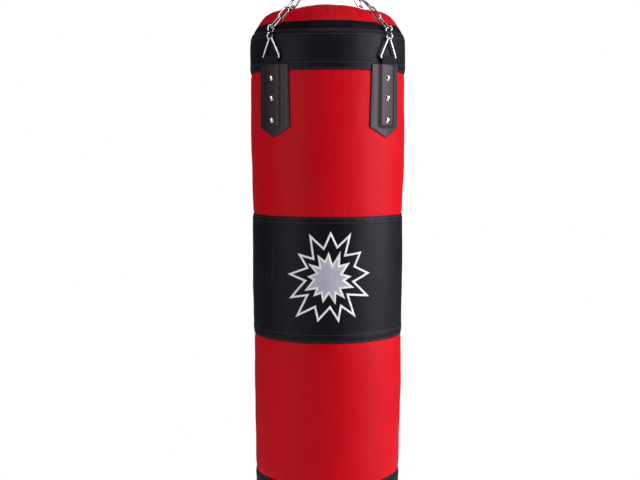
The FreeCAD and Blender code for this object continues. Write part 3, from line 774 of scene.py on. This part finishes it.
bands = {"top_band": (seams["upper_panel"], seams["top_band"]),
         "middle_band": (seams["lower_panel"], seams["middle_band"])}
lifts = {name: band_lift(*ends, HEMS[name]) for name, ends in bands.items()}
stitch_rows = []
made = {}
for name, (start, end) in bands.items():
    rows = rows_of(start, end, HEMS[name])
    stitch_rows += [(row, name) for row in rows]
    lengths = with_rows(rows_between(start, end, 5 * MM), rows + [start + HEMS[name][0],
                                                                  end - HEMS[name][1]])
    made[name] = sewn_strip(name + "_cover", lengths, lifts[name], CLOTH, "black_cover")

panels = {"upper_panel": (seams["middle_band"] - TUCK, seams["upper_panel"] + TUCK),
          "lower_panel": (seams["bottom_band"] - TUCK, seams["lower_panel"] + TUCK)}
for name, (start, end) in panels.items():
    made[name] = sewn_strip(name + "_cover", rows_between(start, end, 5 * MM), panel_lift,
                            CLOTH, "red_cover")
print({name: len(piece.data.polygons) for name, piece in made.items()})

# %% [markdown]
# ## The bottom, and the strip that binds the lid
#
# The bottom band turns under the bag and is sewn to a round bottom. The binding is a dull,
# narrow strip in the joint between the shoulder and the lid, set a little deeper than
# both. All three are strips again, and the bottom's innermost row merges into one point.

# %% Bottom band, bottom and binding
upper_edge_lift = band_lift(seams["bottom"], seams["bottom_band"], HEMS["bottom_band"])


def bottom_lift(length, turn):
    """The bottom band's lift: its upper hem, and a low fold where it meets the bottom."""
    fold = 0.5 * MM * math.exp(-((length - seams["bottom"]) / (2.5 * MM)) ** 2)
    return fold + upper_edge_lift(length, turn)


def binding_lift(length, turn):
    """The binding sits a little deep, and deepest along its middle."""
    middle = (seams["top_band"] + seams["lid_binding"]) / 2
    return -0.5 * MM - 0.5 * MM * math.exp(-((length - middle) / (3 * MM)) ** 2)


lifts["bottom_band"] = bottom_lift
start, end = seams["bottom"], seams["bottom_band"]
rows = rows_of(start, end, HEMS["bottom_band"])
stitch_rows += [(row, "bottom_band") for row in rows]
lengths = with_rows(rows_between(start, end, 5 * MM), rows)
made["bottom_band"] = sewn_strip("bottom_band_cover", lengths, bottom_lift, CLOTH,
                                 "black_cover")
made["bottom_disc"] = sewn_strip(
    "bottom_disc_cover", rows_between(0.0, seams["bottom"] + 1 * MM, 6 * MM),
    lambda length, turn: 0.3 * MM, CLOTH, "black_cover", columns=200)
made["lid_binding"] = sewn_strip(
    "lid_binding_strip",
    rows_between(seams["top_band"] - 1.5 * MM, seams["lid_binding"] + 1.5 * MM, 2 * MM),
    binding_lift, 0.9 * MM, "binding")
print("bottom and binding:", len(made), "pieces so far")

# %% [markdown]
# ## The lid, puffed up by the stuffing
#
# The lid is one round of red cloth over loose scraps, so it swells between the rim, the zip
# and the chains. Sculpting that by hand looks stiff. A short cloth simulation gives it: the
# rim, the zip's strip and the grooves under the chains are pinned, air pressure stands in
# for the stuffing, and the movement is capped so that the lid keeps its size.

# %% The lid before the simulation
LID_CAP = 4.5 * MM
ZIP_HELD = 19 * MM


def held_by(point):
    """How firmly a point of the lid is held: 1 at the rim, the zip and the chains."""
    from_zip = ease((abs(point.y) - ZIP_HELD) / (26 * MM)) if abs(point.x) < 0.1 else 1.0
    from_rim = ease((widest["lid"] - point.xy.length - 3 * MM) / (12 * MM))
    free = min(from_zip, from_rim)
    for start, way in chains.values():
        offset = point - start
        beside = (offset - way * offset.dot(way)).length
        free = min(free, ease((beside - 11 * MM) / (10 * MM)))
    return 1 - free


lid_rows = rows_between(seams["lid_binding"] - 2 * MM, outline_length[-1], 4.5 * MM)
lid = sewn_strip("lid_cover", lid_rows, panel_lift, CLOTH, "red_cover", columns=240)
pins = lid.vertex_groups.new(name="held")
for vertex in lid.data.vertices:
    pins.add([vertex.index], held_by(vertex.co), "REPLACE")
print("lid", len(lid.data.vertices), "points")

# %% Swell it with a short cloth simulation, capped
def puff_up(piece, frames=20):
    """Run a pressure cloth on the piece, cap how far a point moves, and keep the result."""
    before = [vertex.co.copy() for vertex in piece.data.vertices]
    cloth = piece.modifiers.new("stuffing", "CLOTH")
    cloth.settings.vertex_group_mass = "held"
    cloth.settings.use_pressure = True
    cloth.settings.uniform_pressure_force = 4.0
    cloth.settings.quality = 5
    cloth.settings.shrink_min = -0.02
    cloth.settings.effector_weights.gravity = 0.0
    cloth.collision_settings.use_collision = False
    for number in range(1, frames + 1):
        bpy.context.scene.frame_set(number)
    shaped = piece.evaluated_get(bpy.context.evaluated_depsgraph_get())
    after = [vertex.co.copy() for vertex in shaped.data.vertices]
    piece.modifiers.remove(cloth)
    for vertex, old, new in zip(piece.data.vertices, before, after):
        move = new - old
        length = move.length
        if length > 1e-9:
            capped = LID_CAP * math.tanh(length / LID_CAP)
            vertex.co = old + move * (capped / length)
    bpy.context.scene.frame_set(1)
    return max((vertex.co - old).length for vertex, old in zip(piece.data.vertices, before))


print("lid moved at most", round(puff_up(lid) / MM, 2), "mm")
finer = lid.modifiers.new("finer", "SUBSURF")
finer.levels = 1
finer.render_levels = 1
made["lid"] = lid

# %% [markdown]
# ## Leather patches
#
# A patch is cut from a flat hide: a pentagon with its point down. The grid is the hide, the
# cuts are bisecting planes, and the ridge over the webbing is pressed into it as it is
# wrapped on. A patch is firm leather, so it follows the plain wall rather than every lump.

# %% One patch, cut, pressed and wrapped
low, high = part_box("strap_patch_front_left")
PATCH_TOP, PATCH_TIP = high.z, low.z
PATCH_CORNER = PATCH_TIP + 20 * MM
HALF_TOP, HALF_LOW = 36.5 * MM, 40 * MM
PATCH_FLAT, PATCH_RIDGE = 2.55 * MM, 5.95 * MM
RIDGE_HALF = 21 * MM
RIM_ROW = 4.2 * MM
RIDGE_ROW = RIDGE_HALF + 3.5 * MM


def patch_edges():
    """Each straight edge as a point on it and its outward direction, in the flat."""
    corners = [Vector((HALF_TOP, PATCH_TOP)), Vector((HALF_LOW, PATCH_CORNER)),
               Vector((0, PATCH_TIP)), Vector((-HALF_LOW, PATCH_CORNER)),
               Vector((-HALF_TOP, PATCH_TOP))]
    edges = []
    for first, second in zip(corners, corners[1:] + corners[:1]):
        along = (second - first).normalized()
        edges.append((first, Vector((-along.y, along.x))))
    return corners, edges


patch_corners, edges_of_patch = patch_edges()


def patch_lift(across, level):
    """Height of the patch over the wall: rolled edges, and the ridge over the webbing."""
    place = Vector((across, level))
    inside = min((point - place).dot(out) for point, out in edges_of_patch)
    rim = 1.1 * MM * (1 - ease(inside / (1.6 * MM))) ** 2
    groove = 0.35 * MM * math.exp(-((inside - RIM_ROW) / GROOVE_HALF) ** 2)
    ridge = 1 - ease((abs(across) - RIDGE_HALF + 8.0 * MM) / (10.5 * MM))
    ridge *= ease((level - PATCH_CORNER + 3.5 * MM) / (9 * MM))
    beside = 0.3 * MM * math.exp(-((abs(across) - RIDGE_ROW) / (1.0 * MM)) ** 2)
    return PATCH_FLAT - rim - groove - beside + (PATCH_RIDGE - PATCH_FLAT) * ridge


def sew_patch(name):
    """Cut one patch flat, lay its pattern as the UV map, and wrap it on the wall."""
    mesh = bmesh.new()
    bmesh.ops.create_grid(mesh, x_segments=90, y_segments=100, size=1)
    flat = mesh.loops.layers.uv.new("UVMap")
    middle = (PATCH_TOP + PATCH_TIP) / 2
    for vertex in mesh.verts:
        vertex.co = Vector((vertex.co.x * HALF_LOW, 0,
                            middle + vertex.co.y * (PATCH_TOP - PATCH_TIP) / 2))
    for point, out in edges_of_patch:
        bmesh.ops.bisect_plane(mesh, geom=mesh.verts[:] + mesh.edges[:] + mesh.faces[:],
                               plane_co=(point.x, 0, point.y), plane_no=(out.x, 0, out.y),
                               clear_outer=True, dist=1e-7)
    for face in mesh.faces:
        for loop in face.loops:
            loop[flat].uv = (loop.vert.co.x, loop.vert.co.z)
    turn = strap_turns[name]
    for vertex in mesh.verts:
        across, level = vertex.co.x, vertex.co.z
        vertex.co = on_cover(length_at(level), turn + across / band_radius,
                             patch_lift(across, level), soft=False)[0]
    bmesh.ops.recalc_face_normals(mesh, faces=mesh.faces)
    mesh.faces.ensure_lookup_table()
    if mesh.faces[0].normal.dot(directions[name]) < 0:
        bmesh.ops.reverse_faces(mesh, faces=mesh.faces[:])
    bmesh.ops.solidify(mesh, geom=mesh.faces[:], thickness=2.2 * MM)
    return finish_piece(mesh, "patch_" + name, "strap_leather")


for name in STRAPS:
    made["strap_patch_" + name] = sew_patch(name)
print("patches:", [len(made["strap_patch_" + name].data.polygons) for name in STRAPS])

# %% [markdown]
# ## Webbing
#
# Each strap is flat webbing that goes up behind the ring's bar, over it and down in front,
# and both ends are sewn under the patch. A strip bent along that path gives the true loop,
# and the lengthwise UV keeps the weave square to it.

# %% The path of the webbing, and a strip bent along it
WEBBING = 1.6 * MM
WEBBING_HALF = 17.5 * MM
BAR_PLAY = 0.3 * MM
BAR = 2 * MM
BEHIND, IN_FRONT = 0.9 * MM, 2.55 * MM


def wall_radius(level):
    return outline_at(length_at(level))[0]


def webbing_path(name):
    """Radius and height along the middle of the webbing, from one hidden end to the other."""
    joint = joints["delta_tilt_" + name]["pos_m"]
    bar = Vector((Vector(joint[:2]).length, joint[2]))
    bend = BAR + BAR_PLAY + WEBBING / 2
    hidden = PATCH_TOP - 24 * MM
    path = [Vector((wall_radius(level) + BEHIND, level))
            for level in (hidden, hidden + 10 * MM, PATCH_TOP - 4 * MM)]
    for step in range(13):
        angle = math.pi * (1.08 - 1.16 * step / 12)
        path.append(bar + Vector((math.cos(angle), math.sin(angle))) * bend)
    path += [Vector((wall_radius(level) + IN_FRONT, level))
             for level in (PATCH_TOP - 4 * MM, hidden + 10 * MM, hidden)]
    return path


def bend_webbing(name):
    """One loop of webbing: a flat strip laid along its path, then given its thickness."""
    path = webbing_path(name)
    mesh = bmesh.new()
    bmesh.ops.create_grid(mesh, x_segments=20, y_segments=len(path) - 1, size=1)
    flat = mesh.loops.layers.uv.new("UVMap")
    lengths = [0.0]
    for last, here in zip(path, path[1:]):
        lengths.append(lengths[-1] + (here - last).length)
    side = directions[name]
    across_way = Vector((-side.y, side.x, 0))
    place = {}
    for vertex in mesh.verts:
        row = round((vertex.co.y + 1) / 2 * (len(path) - 1))
        across = vertex.co.x * WEBBING_HALF
        place[vertex] = (across, lengths[row])
        vertex.co = side * path[row].x + across_way * across + Vector((0, 0, path[row].y))
    for face in mesh.faces:
        for loop in face.loops:
            loop[flat].uv = place[loop.vert]
    bmesh.ops.recalc_face_normals(mesh, faces=mesh.faces)
    piece = finish_piece(mesh, "webbing_" + name, "webbing")
    thick = piece.modifiers.new("thickness", "SOLIDIFY")
    thick.thickness = WEBBING
    thick.offset = 0.0
    return piece


for name in STRAPS:
    made["strap_loop_" + name] = bend_webbing(name)
print("webbing loops:", len(STRAPS))

# %% [markdown]
# ## The zip
#
# Two woven tapes lie on the lid and meet under a coil. A coil zip is one plastic wire bent
# into loops, so each tooth is a small rounded bar across the gap. Only a few dozen faces go
# into one, because there are more than a hundred of them.

# %% Tapes and coil on the crown
TAPE_HALF = 92 * MM
COIL_HALF = 84 * MM
COIL_PITCH = 1.5 * MM


def on_crown(x, y, lift):
    """A point over the lid's crown, raised along the crown's own radius."""
    centre = Vector((0, 0, bag_top - CROWN_RADIUS))
    way = Vector((x, y, math.sqrt(CROWN_RADIUS**2 - x * x - y * y))).normalized()
    return centre + way * (CROWN_RADIUS + lift), way


def zip_tape():
    mesh = bmesh.new()
    flat = mesh.loops.layers.uv.new("UVMap")
    for side in (-1, 1):
        strip = bmesh.ops.create_grid(mesh, x_segments=120, y_segments=8, size=1)
        for vertex in strip["verts"]:
            x = vertex.co.x * TAPE_HALF
            y = side * (7.6 + 7.4 * vertex.co.y) * MM
            rounded = 0.5 * MM * (1 - ease((1 - abs(vertex.co.y)) * 4))
            vertex.co = on_crown(x, y, 0.95 * MM - rounded)[0]
    for face in mesh.faces:
        for loop in face.loops:
            loop[flat].uv = loop.vert.co.xy
    bmesh.ops.recalc_face_normals(mesh, faces=mesh.faces)
    for face in [face for face in mesh.faces if face.normal.z < 0]:
        face.normal_flip()
    bmesh.ops.solidify(mesh, geom=mesh.faces[:], thickness=0.8 * MM)
    return finish_piece(mesh, "zip_tapes", "zip_cloth")


def zip_coil():
    mesh = bmesh.new()
    count = int(2 * COIL_HALF / COIL_PITCH)
    for i in range(count):
        x = -COIL_HALF + (i + 0.5) * COIL_PITCH
        shift = 0.45 * MM * (1 if i % 2 else -1)
        place, way = on_crown(x, shift, 1.45 * MM)
        across = Vector((0, 1, 0))
        turn = Matrix((way.cross(across), across, way)).transposed().to_4x4()
        size = Matrix.Diagonal((0.55 * MM, 2.2 * MM, 0.85 * MM, 1))
        bmesh.ops.create_uvsphere(mesh, u_segments=8, v_segments=5, radius=1,
                                  matrix=Matrix.Translation(place) @ turn @ size)
    return finish_piece(mesh, "zip_coil_teeth", "zip_teeth")


made["zip_tape"] = zip_tape()
made["zip_coil"] = zip_coil()
print("zip:", len(made["zip_coil"].data.polygons), "faces in the coil")

# %% [markdown]
# ## Stitching
#
# Each stitch is a short piece of thread that dives into the cloth at both ends, so a long
# thin rounded bead, half sunk in its groove, reads as one. One low bead is placed again and
# again along each sewn line.

# %% Rows of stitches
STITCH_PITCH = 4.2 * MM
STITCH_HALF = 1.55 * MM
THREAD = 0.42 * MM
BAND_ENDS_TURN = math.radians(-4.5)


def make_bead():
    """One low rounded bead, a metre across, to be scaled to a stitch."""
    mesh = bmesh.new()
    bmesh.ops.create_uvsphere(mesh, u_segments=6, v_segments=4, radius=1)
    for face in mesh.faces:
        face.smooth = True
    data = bpy.data.meshes.new("bead")
    mesh.to_mesh(data)
    mesh.free()
    return data


bead = make_bead()


def add_stitch(mesh, first, second, normal):
    """Put one bead from the first point to the second."""
    along = (second - first).normalized()
    up = (normal - along * normal.dot(along)).normalized()
    turn = Matrix((along.cross(up), up, along * -1)).transposed().to_4x4()
    size = Matrix.Diagonal((THREAD, THREAD, STITCH_HALF, 1))
    stitch = bead.copy()
    stitch.transform(Matrix.Translation((first + second) / 2) @ turn @ size)
    mesh.from_mesh(stitch)
    bpy.data.meshes.remove(stitch)


def sew_round(mesh, row, lift):
    """A row of stitches right round the bag."""
    count = int(2 * math.pi * outline_at(row)[0] / STITCH_PITCH)
    for i in range(count):
        turn = 2 * math.pi * i / count
        step = 0.3 * math.pi / count
        height = lift(row, turn) + 0.05 * MM
        first, normal = on_cover(row, turn - step, height)
        second, _ = on_cover(row, turn + step, height)
        add_stitch(mesh, first, second, normal)


def sew_flat(mesh, name, first, second):
    """A straight row of stitches on a patch, between two points of its flat pattern."""
    span = (second - first).length
    count = max(1, int(span / STITCH_PITCH))
    half = 0.5 * STITCH_HALF / span
    for i in range(count):
        share = (i + 0.5) / count
        ends = []
        for part in (share - half, share + half):
            spot = first.lerp(second, part)
            turn = strap_turns[name] + spot.x / band_radius
            height = patch_lift(spot.x, spot.y) + 0.1 * MM
            ends.append(on_cover(length_at(spot.y), turn, height, soft=False))
        add_stitch(mesh, ends[0][0], ends[1][0], ends[0][1])


def sew_up(mesh, name, turn, start, end):
    """A short upright row, where a band's two ends meet in its hem."""
    count = int((end - start) / STITCH_PITCH)
    for i in range(count):
        row = start + (i + 0.5) * (end - start) / count
        ends = [on_cover(row + way * STITCH_HALF / 2, turn, lifts[name](row, turn) + 0.1 * MM)
                for way in (-1, 1)]
        add_stitch(mesh, ends[0][0], ends[1][0], ends[0][1])


mesh = bmesh.new()
for row, name in stitch_rows:
    sew_round(mesh, row, lifts[name])
band_start = bands["top_band"][0]
sew_up(mesh, "top_band", BAND_ENDS_TURN, band_start, band_start + HEMS["top_band"][0])
band_stitches = finish_piece(mesh, "band_stitches", "red_thread")
print("stitches round the bands:", len(band_stitches.data.polygons), "faces")

# %% The rows on the patches and the zip tapes
def sew_patch_rows(mesh, name):
    """Stitch one patch: all round inside its rim, and up both sides of the ridge."""
    inner = []
    count = len(patch_corners)
    for i in range(count):
        point, out = edges_of_patch[i]
        before_point, before_out = edges_of_patch[i - 1]
        system = Matrix((out, before_out))
        values = Vector((out.dot(point) - RIM_ROW, before_out.dot(before_point) - RIM_ROW))
        inner.append(system.inverted() @ values)
    for i in range(count):
        first, second = inner[i], inner[(i + 1) % count]
        if i == count - 1:
            sew_flat(mesh, name, first, Vector((-RIDGE_ROW, first.y)))
            sew_flat(mesh, name, Vector((RIDGE_ROW, first.y)), second)
            continue
        sew_flat(mesh, name, first, second)
    for side in (-1, 1):
        x = side * RIDGE_ROW
        sew_flat(mesh, name, Vector((x, PATCH_TOP - 5 * MM)),
                 Vector((x, PATCH_CORNER + 1 * MM)))


def sew_tape(mesh, y, end):
    """A row along the zip, from one end of the tapes to the other."""
    count = int(2 * end / STITCH_PITCH)
    for i in range(count):
        x = -end + (i + 0.5) * 2 * end / count
        first, way = on_crown(x - STITCH_HALF / 2, y, 1.0 * MM)
        second, _ = on_crown(x + STITCH_HALF / 2, y, 1.0 * MM)
        add_stitch(mesh, first, second, way)


mesh = bmesh.new()
for y in (-12.5 * MM, -5.5 * MM, 5.5 * MM, 12.5 * MM):
    sew_tape(mesh, y, TAPE_HALF - 3 * MM)
for name in STRAPS:
    sew_patch_rows(mesh, name)
patch_stitches = finish_piece(mesh, "patch_stitches", "black_thread")
print("stitches on the patches and tapes:", len(patch_stitches.data.polygons), "faces")

# %% [markdown]
# ## The printed mark
#
# The middle band carries a large printed mark. This one is a plain burst with uneven
# points: a white border and a light grey middle. A circle whose points are moved in and
# out, inset once for the border, is simpler than drawing an outline, and cuts every few
# millimetres let it bend round the bag. It has the thickness of a rubbery print.

# %% A burst, cut into strips and wrapped
BURST_HALF = Vector((93 * MM, 104 * MM))
BURST_POINTS = 13
BORDER = 3.7 * MM
INK_LIFT = 0.35 * MM
BURST_TURN = math.radians(0.9)
BURST_DROP = 0.483


def burst(scale, seed, filled):
    """Flat burst mesh: a border with uneven points, and the middle filled or left open."""
    mesh = bmesh.new()
    flat = mesh.loops.layers.uv.new("UVMap")
    chance = random.Random(seed)
    bmesh.ops.create_circle(mesh, cap_ends=True, segments=2 * BURST_POINTS, radius=1)
    mesh.verts.ensure_lookup_table()
    for i, vertex in enumerate(mesh.verts):
        reach = chance.uniform(0.78, 1.0) if i % 2 == 0 else chance.uniform(0.50, 0.62)
        angle = math.atan2(vertex.co.y, vertex.co.x) + chance.uniform(-0.06, 0.06)
        vertex.co = Vector((math.cos(angle) * BURST_HALF.x, math.sin(angle) * BURST_HALF.y,
                            0)) * reach * scale
    middle = mesh.faces[:]
    bmesh.ops.inset_region(mesh, faces=middle, thickness=BORDER, use_even_offset=True,
                           use_boundary=True)
    for face in middle:
        face.material_index = 1
    if not filled:
        bmesh.ops.delete(mesh, geom=middle, context="FACES")
    return mesh, flat


def cut_in_strips(mesh, spacing):
    """Cut a flat shape both ways, so that it can bend."""
    for axis, half in ((Vector((1, 0, 0)), BURST_HALF.x), (Vector((0, 1, 0)), BURST_HALF.y)):
        count = int(2 * half / spacing)
        for i in range(1, count):
            place = axis * (-half + i * 2 * half / count)
            geometry = mesh.verts[:] + mesh.edges[:] + mesh.faces[:]
            bmesh.ops.bisect_plane(mesh, geom=geometry, plane_co=place, plane_no=axis,
                                   dist=1e-7)


def print_on_band(name, mesh, flat, turn, level):
    """Wrap a flat print on the middle band, and give it the thickness of the ink."""
    for face in mesh.faces:
        for loop in face.loops:
            loop[flat].uv = loop.vert.co.xy
    for vertex in mesh.verts:
        across, up = vertex.co.x, vertex.co.y
        length = length_at(level) + up
        vertex.co = on_cover(length, turn + across / band_radius, BAND_LIFT + INK_LIFT)[0]
    bmesh.ops.recalc_face_normals(mesh, faces=mesh.faces)
    mesh.faces.ensure_lookup_table()
    if mesh.faces[0].normal.y > 0:
        bmesh.ops.reverse_faces(mesh, faces=mesh.faces[:])
    bmesh.ops.solidify(mesh, geom=mesh.faces[:], thickness=0.3 * MM)
    return finish_piece(mesh, name, ["white_ink", "grey_ink"], smooth=True)


band_height = top_of["middle_band"] - low_of["middle_band"]
burst_level = top_of["middle_band"] - BURST_DROP * band_height
prints = []
for name, scale, seed, filled in (("printed_burst_border", 1.0, 7, False),
                                  ("printed_burst_middle", 0.55, 11, True)):
    mesh, flat = burst(scale, seed, filled)
    cut_in_strips(mesh, 4 * MM)
    prints.append(print_on_band(name, mesh, flat, BURST_TURN, burst_level))
print("printed mark:", [len(piece.data.polygons) for piece in prints], "faces")

# %% [markdown]
# ## Joining the pieces to the frame
#
# The new pieces all belong to the filled bag, so they ride on its body, and each one stands
# for the plain frame piece it replaces.

# %% Ride and replace
for name, piece in made.items():
    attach(piece, "bag")
    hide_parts(name)
extras = [(band_stitches, "black_cover"), (patch_stitches, "strap_leather")]
extras += [(piece, "black_cover") for piece in prints]
for piece, slot in extras:
    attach(piece, "bag")
print(len(made) + len(extras), "new pieces ride on the bag")

# %% [markdown]
# ## Floor, light and camera
#
# A pale floor lies well below the bag, which hangs in front of plain white. A large soft
# light on the right models the round side and leaves the left darker, a weak one fills the
# shadows, and a small one from above brightens the metal.

# %% Floor and lights
FLOOR_DROP = 0.75


def make_floor():
    mesh = bmesh.new()
    bmesh.ops.create_grid(mesh, x_segments=4, y_segments=4, size=2.0)
    bmesh.ops.translate(mesh, verts=mesh.verts, vec=(0, 0, bag_low - FLOOR_DROP))
    data = bpy.data.meshes.new("floor")
    mesh.to_mesh(data)
    mesh.free()
    floor = bpy.data.objects.new("floor", data)
    bpy.context.scene.collection.objects.link(floor)
    pale, tree, shader = new_finish("pale floor", Roughness=0.8, Emission_Strength=0.55)
    uneven = place_group(tree, uneven_group, Vector=place_of(tree), Scale=3.0)
    colour = mixed_colour(tree, uneven.outputs[0], (0.78, 0.78, 0.78), (0.8, 0.8, 0.8))
    tree.links.new(colour, shader.inputs["Base Color"])
    tree.links.new(colour, shader.inputs["Emission Color"])
    data.materials.append(pale)


def soft_light(name, place, target, size, power):
    data = bpy.data.lights.new(name, "AREA")
    data.shape = "RECTANGLE"
    data.size, data.size_y = size
    data.energy = power
    light = bpy.data.objects.new(name, data)
    light.location = place
    light.rotation_euler = (Vector(target) - Vector(place)).to_track_quat("-Z", "Y").to_euler()
    bpy.context.scene.collection.objects.link(light)


make_floor()
middle = (0, 0, (bag_low + bag_top) / 2)
soft_light("key", (2.3, -0.55, -0.25), middle, (1.4, 2.2), power=85)
soft_light("fill", (-2.0, -1.45, -0.4), middle, (1.4, 2.0), power=27)
soft_light("above", (0.3, -0.9, 1.3), (0, 0, bag_top), (1.2, 1.0), power=12)

# %% White behind, dim all round
world = bpy.data.worlds.new("studio")
bpy.context.scene.world = world
world.use_nodes = True
tree = world.node_tree
tree.nodes.clear()
path = node(tree, "ShaderNodeLightPath")
dim = node(tree, "ShaderNodeBackground", {"Color": (1, 1, 1, 1), "Strength": 0.06})
white = node(tree, "ShaderNodeBackground", {"Color": (1, 1, 1, 1), "Strength": 1.0})
both = node(tree, "ShaderNodeMixShader", {0: path.outputs["Is Camera Ray"],
            1: dim.outputs[0], 2: white.outputs[0]})
node(tree, "ShaderNodeOutputWorld", {"Surface": both.outputs[0]})
bpy.context.scene.view_settings.view_transform = "Standard"
bpy.context.scene.view_settings.look = "None"

# %% Camera
DISTANCE = 2.2
EYE_LEVEL = -0.512
PITCH_DOWN = 4.6
YAW_LEFT = 0.39
lens = bpy.data.cameras.new("camera")
lens.sensor_width = 36
lens.lens = 62.7
camera = bpy.data.objects.new("camera", lens)
camera.location = (0, -DISTANCE, EYE_LEVEL)
camera.rotation_euler = (math.radians(90 - PITCH_DOWN), 0, math.radians(YAW_LEFT))
bpy.context.scene.collection.objects.link(camera)
bpy.context.scene.camera = camera
print("camera at", tuple(round(value, 3) for value in camera.location))
